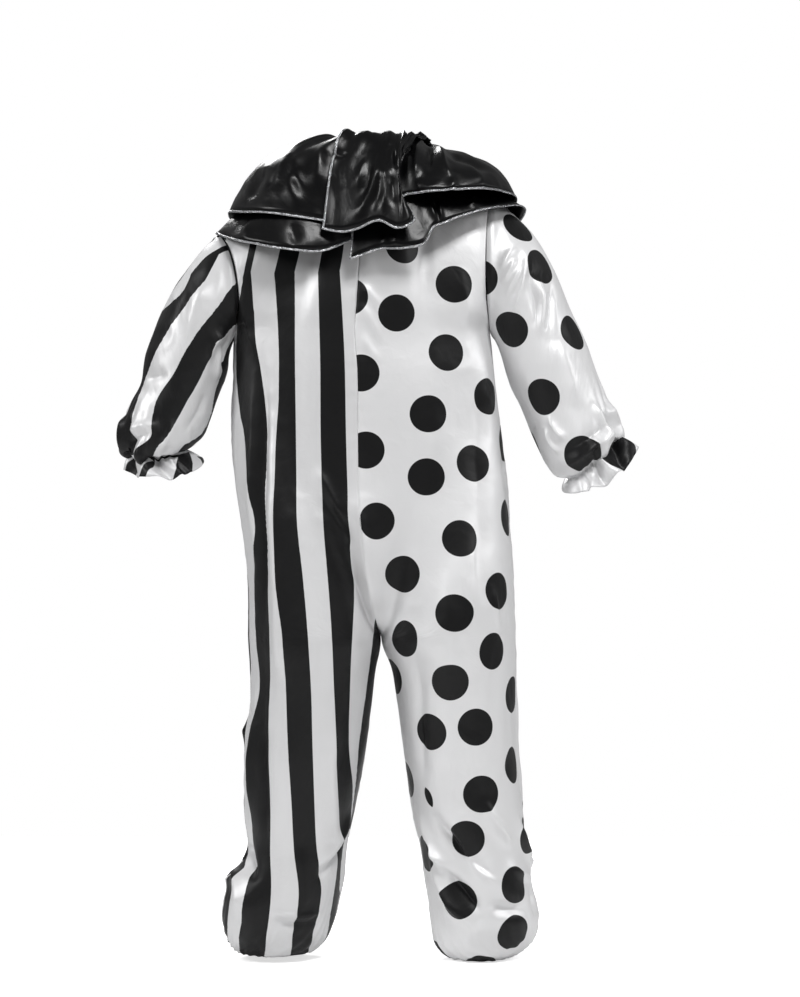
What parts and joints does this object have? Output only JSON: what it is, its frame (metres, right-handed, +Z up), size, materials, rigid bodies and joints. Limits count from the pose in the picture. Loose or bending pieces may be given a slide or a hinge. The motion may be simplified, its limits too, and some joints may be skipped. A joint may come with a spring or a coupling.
{
  "type": "clown costume",
  "caption": "Loose one-piece satin clown suit, half striped and half dotted, with a two-tier gathered collar edged in silver.",
  "frame": {"origin": "middle of the neck opening, level with the top of the shoulders, where the worn suit is held up", "axes": "+Z up towards the wearer's head, -Y to the suit's front, +X to the wearer's left"},
  "size_m": [1.01, 0.4741, 1.6209],
  "materials": {
    "striped_satin": "black and white striped polyester satin",
    "dotted_satin": "white polyester satin with black dots",
    "black_satin": "black polyester satin",
    "silver_edging": "silver metallic thread edging"
  },
  "bodies": {
    "root": {"back_left": "striped_satin", "front_left": "striped_satin", "sleeve_left": "striped_satin", "back_right": "dotted_satin", "front_right": "dotted_satin", "sleeve_right": "dotted_satin", "neck_band": "black_satin", "collar_upper": "black_satin", "collar_lower": "black_satin", "trim_upper": "silver_edging", "trim_lower": "silver_edging"}
  },
  "joints": []
}
